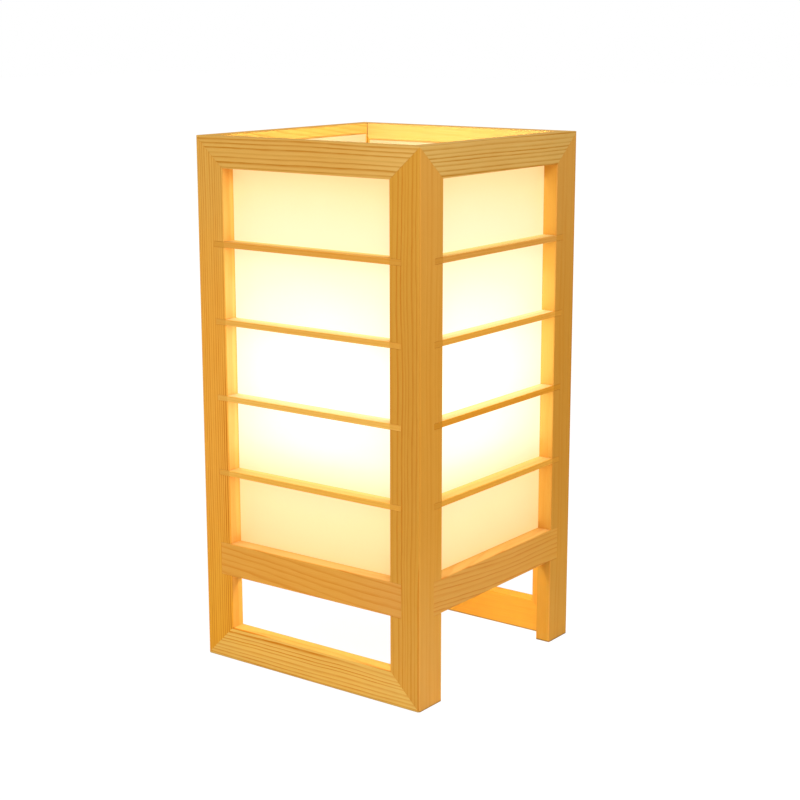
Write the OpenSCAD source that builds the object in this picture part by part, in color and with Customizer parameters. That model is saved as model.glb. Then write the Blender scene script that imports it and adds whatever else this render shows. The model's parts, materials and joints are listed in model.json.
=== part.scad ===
// Table lamp: four mitred lattice frames with paper glued inside, open at the top,
// lit by a screw-in bulb that stands on a cross batten between the side frames.
// Millimetres. X runs along the front, Y towards the back and Z up.
// The origin is on the floor, under the middle of the lamp.

/* [Overall] */
// Width of the front and back frames, outside to outside
lamp_w = 152; // [130:1:200]
// Width of the side frames, outside to outside
lamp_d = 152; // [130:1:200]
// Height of all four frames
lamp_h = 300; // [270:1:400]

/* [Frame members] */
// Thickness of every frame member
frame_t = 9; // [8:0.5:12]
// Face width of the front and back stiles
front_stile_w = 19.2; // [15:0.2:30]
// Face width of the side stiles, which are the side legs
side_stile_w = 20.4; // [15:0.2:30]
// Face height of the top rails
top_rail_h = 17.2; // [14:0.2:26]
// Face height of the mid rails
mid_rail_h = 19; // [18:0.5:30]
// Height of the gap under the mid rails
foot_gap_h = 50.6; // [44:0.2:70]
// Face height of the bottom rails of the front and back frames
bottom_rail_h = 19.2; // [14:0.2:26]
// Eased off each outer vertical corner, along either face
corner_ease = 1; // [0.5:0.1:2]

/* [Kumiko bars] */
// Number of bars across each frame
kumiko_n = 4; // [3:1:6]
// Height of one bar
kumiko_h = 3.3; // [2:0.1:6]

/* [Lap joints] */
// Length of a bar's or mid rail's end that is let into a stile
lap_l = 7.2; // [4:0.2:10]
// Thickness of such an end
lap_t = 4.5; // [3:0.5:6]

/* [Paper] */
// Thickness of the laminated paper
paper_t = 0.5; // [0.3:0.1:1]
// Bare corner beside each edge of a sheet
paper_side_gap = 2.2; // [1:0.1:5]
// Bare top of the front and back frames above their sheets
front_paper_drop = 10; // [4:0.5:12]
// Bare top of the side frames above their sheets
side_paper_drop = 6.5; // [4:0.5:12]
// How far a sheet laps over the mid rail
paper_lap = 5; // [2:0.5:6]

/* [Batten] */
// Width of the batten that carries the lampholder
batten_w = 40; // [36:1:60]
// Thickness of the batten
batten_t = 11; // [8:0.5:12]
// Gap between the batten's top and the sheets above it
batten_paper_gap = 1.4; // [0.5:0.1:1.8]
// Depth of the housings in the side mid rails that hold the batten's ends
housing_d = 4; // [2:0.5:5]
// Play behind each end of the batten
housing_gap = 0.2; // [0.1:0.1:0.5]

/* [Fixing] */
// Outer radius of the threaded tube that clamps the lampholder
tube_r = 5; // [4.5:0.1:6]
// Radius of the tube's bore, which the lead passes through
tube_bore_r = 3.6; // [2.8:0.1:3.8]
// Clearance round the tube in the pieces that screw on it
thread_gap = 0.1; // [0.05:0.05:0.3]
// Clearance round the tube in the batten
batten_hole_gap = 0.3; // [0.1:0.1:1]
// How far the tube stands up inside the lampholder's base
tube_stand = 1.5; // [0.5:0.5:2]
// Radius of the washer
washer_r = 12; // [9:0.5:16]
// Thickness of the washer
washer_t = 1.5; // [1:0.1:2.5]
// Width of the nut across its flats
nut_w = 14; // [14:0.5:18]
// Height of the nut
nut_h = 4; // [3:0.5:6]

/* [Cord grip] */
// Radius of the cord grip's collar
grip_r = 8; // [7:0.2:11]
// Height of the cord grip
grip_h = 19; // [16:1:24]
// Depth of the tube inside the cord grip
grip_thread_h = 9; // [6:0.5:10]
// Radius of the cord inlet
inlet_r = 3.8; // [3:0.1:4.4]
// Radius of the clamp screw
clamp_screw_r = 1.9; // [1.2:0.1:2.2]
// How far the clamp screw's boss stands out from the axis
clamp_boss_l = 10.6; // [9.6:0.2:13]
// Radius of that boss
clamp_boss_r = 3.4; // [3:0.1:3.8]
// Height of the clamp screw above the grip's lower end
clamp_z = 4.6; // [4.4:0.1:5]

/* [Lampholder] */
// Radius of the base where it stands on the batten
foot_r = 13; // [12:0.5:15]
// Height of the straight foot of the base
foot_h = 4; // [2:0.5:6]
// Thickness of the base's floor
base_floor_t = 5; // [3:0.5:6]
// Height of the base up to the skirt
base_h = 20; // [18:0.5:26]
// Height of the spigot on which the skirt is screwed
spigot_h = 5; // [3:0.5:8]
// Height of the skirt above the base
skirt_h = 36; // [35:0.5:42]
// Wall of the skirt
skirt_wall = 2.3; // [1.5:0.1:3]
// Wall of the spigot
spigot_wall = 1.5; // [1:0.1:2.5]
// Wall of the insulating core
core_wall = 1.5; // [1.2:0.1:2.5]
// Height of the core's seat above the batten
core_seat_h = 14; // [12:0.5:16]
// Thickness of the core's floor
core_floor_t = 8; // [5:0.5:10]
// Wall of the brass thread sleeve
sleeve_t = 0.45; // [0.3:0.05:0.8]
// Height of the thread sleeve
sleeve_h = 26; // [18:0.5:27]
// Clearance between the fixed pieces of the lampholder
seat_gap = 0.2; // [0.1:0.05:0.3]
// Number of grip flutes round the skirt
flute_n = 24; // [12:2:32]
// Radius of one flute
flute_r = 0.9; // [0.5:0.1:1.2]

/* [Contacts] */
// Height to which the centre contact springs up
spring_rise = 6; // [4:0.5:8]
// Thickness of the spring strip
spring_t = 0.5; // [0.3:0.1:0.8]
// Width of the spring strip
spring_w = 6; // [4:0.5:8]
// Width of a terminal block
terminal_w = 5; // [4:0.5:6]
// Height of a terminal block
terminal_h = 6; // [4:0.5:6.5]

/* [Bulb] */
// Largest diameter of the glass
bulb_d = 60; // [50:1:70]
// Length from the centre contact to the top of the glass
bulb_l = 108; // [98:1:120]
// Thickness of the glass
glass_t = 0.8; // [0.5:0.1:1.2]
// Outer radius of the screw cap
cap_r = 13.1; // [12.6:0.1:13.4]
// Wall of the screw cap
cap_t = 0.5; // [0.3:0.1:0.8]
// Length of the cap with its contact
cap_l = 27; // [25:0.5:28]
// Clearance between the cap and the thread sleeve
screw_gap = 0.4; // [0.3:0.05:0.6]
// Clearance between the bulb's contact and the spring
contact_gap = 0.3; // [0.2:0.05:0.5]
// Radius of the glass neck above the cap
neck_r = 13.4; // [12.8:0.1:13.8]
// Length of one filament
filament_l = 34; // [24:1:38]
// Number of filaments
filament_n = 4; // [2:1:6]

/* [Hidden] */
$fn = 72;
arc_steps = 14;
wall_names = ["front", "right", "back", "left"];

pine = "#dca862";
pine_light = "#e4b673";
paper_white = "#fbf0d2";
steel = "#b9bcc0";
brass = "#c9a24a";
black_plastic = "#26262a";
white_ceramic = "#e9e6df";
clear_glass = "#dfe8ea";
lit_glass = "#fff3d8";
filament_yellow = "#e8c04a";

// heights in the frames
mid_top = foot_gap_h + mid_rail_h;
opening_top = lamp_h - top_rail_h;
cell_h = (opening_top - mid_top - kumiko_n * kumiko_h) / (kumiko_n + 1);
paper_bottom = mid_top - paper_lap;
batten_top = paper_bottom - batten_paper_gap;
batten_bottom = batten_top - batten_t;

// heights in the stack under the batten, from the batten down
nut_top = batten_bottom - washer_t;
grip_top = nut_top - nut_h;
grip_bottom = grip_top - grip_h;
tube_bottom = grip_top - grip_thread_h;
tube_top = batten_top + base_floor_t + tube_stand;

// radii in the lampholder, from the bulb outwards
sleeve_in_r = cap_r + screw_gap;
sleeve_out_r = sleeve_in_r + sleeve_t;
core_in_r = sleeve_out_r + seat_gap / 2;
core_out_r = core_in_r + core_wall;
spigot_in_r = core_out_r + seat_gap;
spigot_out_r = spigot_in_r + spigot_wall;
skirt_in_r = spigot_out_r + seat_gap;
holder_r = skirt_in_r + skirt_wall;

// heights in the lampholder, above the floor
core_bottom = batten_top + core_seat_h;
core_floor = core_bottom + core_floor_t;
skirt_bottom = batten_top + base_h;
skirt_top = skirt_bottom + skirt_h;
lip_t = 2;
lip_r = cap_r + 1.7;
core_top = skirt_top - lip_t - seat_gap;
spring_top = core_floor + spring_rise;

// heights in the bulb, above its own contact
bulb_bottom = spring_top + contact_gap;
contact_h = 1.2;
insulator_top = 4;
thread_bottom = 6;
contact_r = 4.8;
insulator_r = 5.6;
cap_tip_r = 8.6;
neck_top = cap_l + 4;
bulb_r = bulb_d / 2;
globe_z = bulb_l - bulb_r;
stem_h = globe_z - filament_l / 2 - 4;

// wall 0 is the front, and the others follow it anticlockwise seen from above
function is_side(k) = k % 2 == 1;
function wall_w(k) = is_side(k) ? lamp_d : lamp_w;
function wall_y(k) = (is_side(k) ? lamp_w : lamp_d) / 2;
function stile_w(k) = is_side(k) ? side_stile_w : front_stile_w;
function clear_w(k) = wall_w(k) - 2 * stile_w(k);
// bars are counted from the top
function kumiko_z(i) = opening_top - i * (cell_h + kumiko_h);
function bar_heights() = concat([[foot_gap_h, mid_rail_h]], [for (i = [1:kumiko_n]) [kumiko_z(i), kumiko_h]]);

function arc(x, z, r, a, b, n = arc_steps) = [for (i = [0:n]) let (t = a + (b - a) * i / n) [x + r * cos(t), z + r * sin(t)]];

// puts a wall drawn with its outer face on y = 0 where it belongs
module on_wall(k) {
    rotate([0, 0, 90 * k]) translate([0, -wall_y(k), 0]) children();
}

// plan of a wall, with its long edges mitred and their tips eased
module wall_plan(k) {
    h = wall_w(k) / 2;
    e = corner_ease;
    polygon([
        [-h + e, 0], [h - e, 0], [h - e / 2, e / 2], [h - frame_t, frame_t],
        [-h + frame_t, frame_t], [-h + e / 2, e / 2]
    ]);
}

// board cut to an outline on the wall's face
module board(k, outline) {
    intersection() {
        translate([0, frame_t, 0]) rotate([90, 0, 0]) linear_extrude(frame_t) polygon(outline);
        linear_extrude(lamp_h) wall_plan(k);
    }
}

// bar across the opening, full depth between the stiles and thinned where it laps them
module cross_bar(k, z, h) {
    a = clear_w(k) / 2;
    b = a + lap_l;
    translate([0, 0, z]) linear_extrude(h) polygon([
        [-b, 0], [b, 0], [b, lap_t], [a, lap_t], [a, frame_t], [-a, frame_t], [-a, lap_t], [-b, lap_t]
    ]);
}

// left stile for side = 0, right stile for side = 1, seen from outside
module stile(k, side) {
    h = wall_w(k) / 2;
    s = stile_w(k);
    foot = is_side(k) ? 0 : bottom_rail_h;
    color(pine) on_wall(k) mirror([side, 0, 0]) difference() {
        board(k, [[-h, 0], [-h + s, foot], [-h + s, opening_top], [-h, lamp_h]]);
        for (b = bar_heights()) {
            translate([-h + s - lap_l, -1, b[0]]) cube([lap_l + 1, lap_t + 1, b[1]]);
        }
    }
}

module top_rail(k) {
    h = wall_w(k) / 2;
    s = stile_w(k);
    color(pine) on_wall(k)
        board(k, [[-h + s, opening_top], [h - s, opening_top], [h, lamp_h], [-h, lamp_h]]);
}

module bottom_rail(k) {
    h = wall_w(k) / 2;
    s = stile_w(k);
    color(pine) on_wall(k)
        board(k, [[-h, 0], [h, 0], [h - s, bottom_rail_h], [-h + s, bottom_rail_h]]);
}

// the side mid rails are housed for the batten
module mid_rail(k) {
    color(pine) on_wall(k) difference() {
        cross_bar(k, foot_gap_h, mid_rail_h);
        if (is_side(k))
            translate([-batten_w / 2, frame_t - housing_d, batten_bottom])
                cube([batten_w, housing_d + 1, batten_t]);
    }
}

module kumiko(k, i) {
    color(pine_light) on_wall(k) cross_bar(k, kumiko_z(i), kumiko_h);
}

module paper(k) {
    w = wall_w(k) - 2 * frame_t - 2 * paper_side_gap;
    top = lamp_h - (is_side(k) ? side_paper_drop : front_paper_drop);
    color(paper_white) on_wall(k)
        translate([-w / 2, frame_t, paper_bottom]) cube([w, paper_t, top - paper_bottom]);
}

module batten() {
    l = lamp_w - 2 * (frame_t - housing_d + housing_gap);
    color(pine_light) difference() {
        translate([-l / 2, -batten_w / 2, batten_bottom]) cube([l, batten_w, batten_t]);
        translate([0, 0, batten_bottom - 1]) cylinder(r = tube_r + batten_hole_gap, h = batten_t + 2);
    }
}

// flat ring with its underside at z
module ring(r_out, r_in, z, h) {
    translate([0, 0, z]) difference() {
        cylinder(r = r_out, h = h);
        translate([0, 0, -1]) cylinder(r = r_in, h = h + 2);
    }
}

module threaded_tube() {
    color(steel) ring(tube_r, tube_bore_r, tube_bottom, tube_top - tube_bottom);
}

module washer() {
    color(steel) ring(washer_r, tube_r + batten_hole_gap, nut_top, washer_t);
}

// hexagon with turned corners, screwed up against the washer
module hex_nut() {
    corner_r = nut_w / sqrt(3);
    turned = 0.8;
    color(steel) difference() {
        intersection() {
            translate([0, 0, grip_top]) cylinder(r = corner_r, h = nut_h, $fn = 6);
            translate([0, 0, grip_top]) cylinder(r1 = corner_r - turned, r2 = corner_r + nut_h - turned, h = nut_h);
            translate([0, 0, grip_top]) cylinder(r1 = corner_r + nut_h - turned, r2 = corner_r - turned, h = nut_h);
        }
        translate([0, 0, grip_top - 1]) cylinder(r = tube_r + thread_gap, h = nut_h + 2);
    }
}

// collar with the cord inlet below, a clamp screw in a boss at its side
module cord_grip() {
    nose_r = inlet_r + 2.4;
    nose_h = 9;
    round_r = 1.2;
    z0 = grip_bottom;
    color(black_plastic) difference() {
        union() {
            rotate_extrude() polygon(concat(
                [[inlet_r, z0]],
                arc(nose_r - round_r, z0 + round_r, round_r, -90, 0, 5),
                [[nose_r, z0 + nose_h - 2], [grip_r, z0 + nose_h], [grip_r, grip_top]],
                [[tube_r + thread_gap, grip_top], [tube_r + thread_gap, tube_bottom], [inlet_r, tube_bottom]]
            ));
            difference() {
                translate([0, 0, z0 + clamp_z]) rotate([0, 90, 0]) cylinder(r = clamp_boss_r, h = clamp_boss_l);
                translate([0, 0, z0]) cylinder(r = nose_r - 0.5, h = grip_h);
            }
        }
        translate([0, 0, z0 + clamp_z]) rotate([0, 90, 0])
            cylinder(r = clamp_screw_r + thread_gap, h = clamp_boss_l + 1);
    }
}

// slotted screw whose tip is level with the wall of the inlet
module clamp_screw() {
    tip = inlet_r + 0.2;
    head_r = clamp_screw_r + 1.4;
    head_h = 2.2;
    slot = 0.8;
    color(steel) translate([0, 0, grip_bottom + clamp_z]) rotate([0, 90, 0]) difference() {
        union() {
            translate([0, 0, tip]) cylinder(r = clamp_screw_r, h = clamp_boss_l - tip + 0.2);
            translate([0, 0, clamp_boss_l]) cylinder(r = head_r, h = head_h);
        }
        translate([-head_r - 1, -slot / 2, clamp_boss_l + head_h - 1]) cube([2 * head_r + 2, slot, 2]);
    }
}

module holder_base() {
    shoulder_r = holder_r - foot_r;
    hole_r = tube_r + thread_gap;
    ledge_r = core_out_r - 1.5;
    cavity_r = foot_r - 2.5;
    z0 = batten_top;
    floor_z = z0 + base_floor_t;
    cone_h = 4;
    color(black_plastic) rotate_extrude() polygon(concat(
        [[hole_r, z0]],
        [[foot_r, z0]],
        arc(foot_r, z0 + foot_h + shoulder_r, shoulder_r, -90, 0, 10),
        [[holder_r, z0 + base_h], [spigot_out_r, z0 + base_h], [spigot_out_r, z0 + base_h + spigot_h]],
        [[spigot_in_r, z0 + base_h + spigot_h], [spigot_in_r, core_bottom], [ledge_r, core_bottom]],
        [[ledge_r, floor_z + cone_h], [cavity_r, floor_z], [hole_r, floor_z]]
    ));
}

module holder_skirt() {
    edge = 1.2;
    flute_h = 12;
    flute_rise = 3;
    color(black_plastic) difference() {
        rotate_extrude() polygon(concat(
            [[skirt_in_r, skirt_bottom], [holder_r, skirt_bottom]],
            arc(holder_r - edge, skirt_top - edge, edge, 0, 90, 5),
            [[lip_r, skirt_top], [lip_r, skirt_top - lip_t], [skirt_in_r, skirt_top - lip_t]]
        ));
        for (i = [0:flute_n - 1]) {
            rotate([0, 0, 360 * i / flute_n]) translate([holder_r + flute_r / 2, 0, skirt_bottom + flute_rise])
                cylinder(r = flute_r, h = flute_h, $fn = 16);
        }
    }
}

// cup that insulates the thread sleeve
module holder_core() {
    color(white_ceramic) rotate_extrude() polygon([
        [0, core_bottom], [core_out_r, core_bottom], [core_out_r, core_top],
        [core_in_r, core_top], [core_in_r, core_floor], [0, core_floor]
    ]);
}

module thread_sleeve() {
    color(brass) ring(sleeve_out_r, sleeve_in_r, core_floor, sleeve_h);
}

// strip riveted to the core's floor and bent up under the bulb
module centre_contact() {
    z = core_floor;
    t = spring_t;
    fixed_x = -10;
    bend_x = -3;
    crest_x = 1;
    tip_x = 5;
    color(brass) translate([0, spring_w / 2, 0]) rotate([90, 0, 0]) linear_extrude(spring_w) polygon([
        [fixed_x, z], [bend_x, z], [crest_x, spring_top - t], [tip_x, spring_top - t],
        [tip_x, spring_top], [crest_x - t / 2, spring_top], [bend_x - t / 2, z + t], [fixed_x, z + t]
    ]);
}

// two blocks under the core, each with its screw
module terminals() {
    x = tube_r + 0.6;
    z = core_bottom - terminal_h;
    l = 4.4;
    screw_r = 1.3;
    wire_r = 1;
    color(brass) for (a = [0, 180]) rotate([0, 0, a]) difference() {
        union() {
            translate([x, -terminal_w / 2, z]) cube([l, terminal_w, terminal_h]);
            translate([x + l / 2, -terminal_w / 2 - 1.2, z + terminal_h / 2]) rotate([-90, 0, 0])
                cylinder(r = screw_r, h = 2);
        }
        translate([x + l / 2, 0, z - 1]) cylinder(r = wire_r, h = terminal_h - 1);
    }
}

// half section of the glass, moved in by a wall of g
function glass_line(g) = let (
    rise = globe_z - neck_top,
    blend_r = (neck_r * neck_r + rise * rise - bulb_r * bulb_r) / (2 * (bulb_r - neck_r)),
    meet = atan2(rise, neck_r + blend_r)
) concat(
    [[cap_r - cap_t - 0.2 - g, cap_l - 8], [cap_r - cap_t - 0.2 - g, cap_l], [neck_r - g, neck_top - 2]],
    arc(neck_r + blend_r, neck_top, blend_r + g, 180, 180 - meet),
    arc(0, globe_z, bulb_r - g, -meet, 90)
);

module bulb_glass() {
    outside = glass_line(0);
    inside = glass_line(glass_t);
    color(lit_glass) translate([0, 0, bulb_bottom]) rotate_extrude()
        polygon(concat(outside, [for (i = [len(inside) - 1:-1:0]) inside[i]]));
}

// pinched glass tube that carries the filaments
module bulb_stem() {
    flare_r = cap_r - cap_t - glass_t - 0.4;
    z0 = cap_l - 7.5;
    color(clear_glass) translate([0, 0, bulb_bottom]) rotate_extrude() polygon(concat(
        [[0, z0], [flare_r, z0], [flare_r, z0 + 1]],
        arc(flare_r, z0 + 1 + flare_r - 3, flare_r - 3, -90, -180, 8),
        [[3, stem_h - 3], [1.6, stem_h], [0, stem_h]]
    ));
}

// round wire from a to b
module wire(a, b, r) {
    d = b - a;
    l = norm(d);
    translate(a) rotate([0, acos(d[2] / l), atan2(d[1], d[0])]) cylinder(r = r, h = l, $fn = 16);
}

// leaning filaments between a mast's crown and the lead wires
module bulb_filaments() {
    low_z = globe_z - filament_l / 2;
    high_z = globe_z + filament_l / 2;
    lean = 30;
    low_r = 9;
    high_r = 7;
    mast_r = 0.6;
    wire_r = 0.5;
    filament_r = 0.9;
    color(filament_yellow) translate([0, 0, bulb_bottom]) {
        wire([0, 0, stem_h], [0, 0, high_z], mast_r);
        for (i = [0:filament_n - 1]) {
            a = 360 * i / filament_n;
            low = [low_r * cos(a), low_r * sin(a), low_z];
            high = [high_r * cos(a + lean), high_r * sin(a + lean), high_z];
            wire([0, 0, stem_h + 2 * wire_r], low, wire_r);
            wire(low, high, filament_r);
            wire([0, 0, high_z], high, wire_r);
        }
    }
}

module bulb_cap() {
    flare = 0.3;
    color(steel) translate([0, 0, bulb_bottom]) rotate_extrude() polygon([
        [cap_tip_r, insulator_top], [cap_r, thread_bottom], [cap_r, cap_l - 2], [cap_r + flare, cap_l],
        [cap_r + flare - cap_t, cap_l], [cap_r - cap_t, cap_l - 2], [cap_r - cap_t, thread_bottom + 0.4],
        [cap_tip_r, insulator_top + cap_t]
    ]);
}

module bulb_insulator() {
    color(black_plastic) translate([0, 0, bulb_bottom]) rotate_extrude() polygon([
        [0, contact_h], [insulator_r, contact_h], [cap_tip_r, insulator_top],
        [cap_tip_r, insulator_top + cap_t], [0, insulator_top + cap_t]
    ]);
}

module bulb_contact() {
    color(steel) translate([0, 0, bulb_bottom]) rotate_extrude() polygon([
        [0, 0], [contact_r - 0.8, 0], [contact_r, contact_h / 2], [contact_r, contact_h], [0, contact_h]
    ]);
}

for (k = [0:3]) {
    stile(k, 0);
    stile(k, 1);
    top_rail(k);
    mid_rail(k);
    paper(k);
    for (i = [1:kumiko_n]) {
        kumiko(k, i);
    }
}
bottom_rail(0);  // front_bottom_rail
bottom_rail(2);  // back_bottom_rail
batten();
threaded_tube();
washer();
hex_nut();
cord_grip();
clamp_screw();
holder_base();
holder_skirt();
holder_core();
thread_sleeve();
centre_contact();
terminals();
bulb_glass();
bulb_stem();
bulb_filaments();
bulb_cap();
bulb_insulator();
bulb_contact();
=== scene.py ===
import json
import math
import random
import bmesh
import bpy
from mathutils import Matrix, Vector
from mathutils.bvhtree import BVHTree


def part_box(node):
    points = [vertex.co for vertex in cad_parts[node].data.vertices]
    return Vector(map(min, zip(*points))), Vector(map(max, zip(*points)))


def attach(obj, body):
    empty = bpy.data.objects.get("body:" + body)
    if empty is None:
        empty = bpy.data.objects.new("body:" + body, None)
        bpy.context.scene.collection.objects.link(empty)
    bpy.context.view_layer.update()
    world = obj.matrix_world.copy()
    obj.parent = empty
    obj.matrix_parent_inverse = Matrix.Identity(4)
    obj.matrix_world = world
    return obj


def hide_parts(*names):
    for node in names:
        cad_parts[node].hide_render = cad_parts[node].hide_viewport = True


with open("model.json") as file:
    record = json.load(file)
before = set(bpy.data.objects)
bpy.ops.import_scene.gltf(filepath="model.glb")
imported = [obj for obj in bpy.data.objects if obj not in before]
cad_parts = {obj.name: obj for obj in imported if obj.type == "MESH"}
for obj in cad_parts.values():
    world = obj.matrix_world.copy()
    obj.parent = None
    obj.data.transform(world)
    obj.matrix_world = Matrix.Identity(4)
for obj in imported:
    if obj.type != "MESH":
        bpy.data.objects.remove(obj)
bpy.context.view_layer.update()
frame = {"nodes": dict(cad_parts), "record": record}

# Square table lamp of softwood lattice frames with paper behind them, lit from inside.
# X runs along the front, Y towards the back, Z up from the floor. Camera and studio are set
# in metres, the lamp's own pieces in millimetres.

mm = 0.001
nodes = frame["nodes"]
wallNames = ["front", "right", "back", "left"]
slotOf = {part["node"]: part["material_slot"] for part in frame["record"]["subparts"]}
print("frame loaded:", len(nodes), "nodes")


def linear(code):
    # a hex colour as the linear values that a shader takes
    parts = [int(code[i:i + 2], 16) / 255 for i in (1, 3, 5)]
    return [v / 12.92 if v <= 0.04045 else ((v + 0.055) / 1.055) ** 2.4 for v in parts] + [1.0]


class Sock:
    # an output of a node, so that shader sums read as plain expressions
    def __init__(self, tree, socket):
        self.tree = tree
        self.socket = socket

    def math(self, operation, *values):
        made = self.tree.nodes.new("ShaderNodeMath")
        made.operation = operation
        for target, value in zip(made.inputs, values):
            if isinstance(value, Sock):
                self.tree.links.new(value.socket, target)
            else:
                target.default_value = value
        return Sock(self.tree, made.outputs[0])

    def __add__(self, other):
        return self.math("ADD", self, other)

    def __radd__(self, other):
        return self.math("ADD", other, self)

    def __sub__(self, other):
        return self.math("SUBTRACT", self, other)

    def __rsub__(self, other):
        return self.math("SUBTRACT", other, self)

    def __mul__(self, other):
        return self.math("MULTIPLY", self, other)

    def __rmul__(self, other):
        return self.math("MULTIPLY", other, self)

    def __truediv__(self, other):
        return self.math("DIVIDE", self, other)

    def __pow__(self, other):
        return self.math("POWER", self, other)

    def fraction(self):
        return self.math("FRACT", self)

    def larger(self, other):
        return self.math("MAXIMUM", self, other)

    def size(self):
        return self.math("ABSOLUTE", self)


class Finish:
    # one material: its Principled shader and the nodes that feed it
    def __init__(self, name, **fixed):
        self.material = bpy.data.materials.new(name)
        self.material.use_nodes = True
        self.tree = self.material.node_tree
        self.shader = self.tree.nodes["Principled BSDF"]
        for socket, value in fixed.items():
            self.shader.inputs[socket.replace("_", " ")].default_value = value

    def node(self, kind, settings, inputs, out=0):
        made = self.tree.nodes.new("ShaderNode" + kind)
        for name, value in settings.items():
            if name == "stops":
                while len(made.color_ramp.elements) < len(value):
                    made.color_ramp.elements.new(0.5)
                for element, (place, colour) in zip(made.color_ramp.elements, value):
                    element.position = place
                    element.color = colour
            else:
                setattr(made, name, value)
        for name, value in inputs.items():
            if isinstance(value, Sock):
                self.tree.links.new(value.socket, made.inputs[name])
            else:
                made.inputs[name].default_value = value
        return Sock(self.tree, made.outputs[out])

    def feed(self, socket, value):
        self.tree.links.new(value.socket, self.shader.inputs[socket])

    def position(self):
        # object coordinates in millimetres
        place = self.node("TexCoord", {}, {}, "Object")
        return self.node("VectorMath", {"operation": "SCALE"}, {0: place, "Scale": 1 / mm})

    def axes(self, vector):
        return [self.node("SeparateXYZ", {}, {0: vector}, axis) for axis in "XYZ"]

    def vector(self, x, y, z):
        return self.node("CombineXYZ", {}, {"X": x, "Y": y, "Z": z})

    def noise(self, vector, scale=1.0, detail=2.0, roughness=0.5):
        return self.node("TexNoise", {}, {
            "Vector": vector, "Scale": scale, "Detail": detail, "Roughness": roughness})

    def ease(self, value, low, high, lowTo=0.0, highTo=1.0):
        # value from low to high becomes lowTo to highTo, eased at both ends
        return self.node("MapRange", {"interpolation_type": "SMOOTHSTEP"}, {
            "Value": value, "From Min": low, "From Max": high, "To Min": lowTo, "To Max": highTo})

    def mix(self, factor, first, second, blend="MIX"):
        # the node's colours go in at 6 and 7 and come out at 2
        return self.node("Mix", {"data_type": "RGBA", "blend_type": blend},
                         {0: factor, 6: first, 7: second}, 2)

    def dim(self, colour, share):
        # a colour times a plain share
        return self.mix(1.0, colour, self.vector(share, share, share), "MULTIPLY")

    def bump(self, height, distance, strength):
        # distance in mm
        self.feed("Normal", self.node("Bump", {}, {
            "Height": height, "Distance": distance * mm, "Strength": strength}))


# the view of the photograph: where the camera stands and how it is turned
view = {
    "place": (574.7 * mm, -766.4 * mm, 361.6 * mm),
    "turn": -36.518,        # degrees, negative to the left
    "dip": -12.588,         # degrees, negative downwards
    "roll": -0.058,
    "lens": 76.66,          # mm, as the width of the sensor
    "sensor": 36,
    "clip": (0.05, 50),
}


def addCamera():
    turn, dip, roll = (math.radians(view[name]) for name in ("turn", "dip", "roll"))
    ahead = Vector((math.cos(dip) * math.sin(turn), math.cos(dip) * math.cos(turn), math.sin(dip)))
    level = Vector((math.cos(turn), -math.sin(turn), 0))
    above = level.cross(ahead)
    right = level * math.cos(roll) + above * math.sin(roll)
    up = above * math.cos(roll) - level * math.sin(roll)
    data = bpy.data.cameras.new("camera")
    data.lens = view["lens"]
    data.sensor_width = view["sensor"]
    data.clip_start, data.clip_end = view["clip"]
    camera = bpy.data.objects.new("camera", data)
    bpy.context.scene.collection.objects.link(camera)
    camera.location = view["place"]
    camera.rotation_euler = Matrix((right, up, -ahead)).transposed().to_euler()
    bpy.context.scene.camera = camera


# studio: a white room, soft lamps and a floor that keeps a faint shadow
studio = {
    "ambient": 0.62,        # the room's light on the lamp; to the camera it is plain white
    "floorSize": 16.0,
    "floorWhite": 0.92,
    "floorRoughness": 0.9,
    "floorClear": 0.86,     # how much of the floor is plain white to the camera
    "floorStrength": 1.09,
    "contact": 0.002,       # what is this close to the floor gets the room's light from below
    "aim": (0, 0, 0.14),    # the point that the lamps face
    "lamps": {              # place, size and power
        "key": ((1.65, -1.75, 1.7), 1.4, 23.5),
        "fill": ((-1.9, -1.5, 1.3), 1.6, 8.5),
        "back": ((-1.3, 2.1, 1.5), 1.6, 13.0),
    },
}


def areaLamp(name, place, aim, size, power, colour=(1, 1, 1), sizeUp=None):
    data = bpy.data.lights.new(name, "AREA")
    data.energy = power
    data.color = colour
    data.size = size
    if sizeUp:
        data.shape = "RECTANGLE"
        data.size_y = sizeUp
    lamp = bpy.data.objects.new(name, data)
    bpy.context.scene.collection.objects.link(lamp)
    lamp.location = place
    lamp.rotation_euler = (Vector(aim) - Vector(place)).to_track_quat("-Z", "Y").to_euler()
    lamp.visible_camera = False


def seenRays(tree):
    # 1 for rays that should meet the plain white background
    path = tree.nodes.new("ShaderNodeLightPath")
    camera, glossy, through = (Sock(tree, path.outputs["Is %s Ray" % kind])
                               for kind in ("Camera", "Glossy", "Transmission"))
    return camera.larger(glossy).larger(through)


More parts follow.
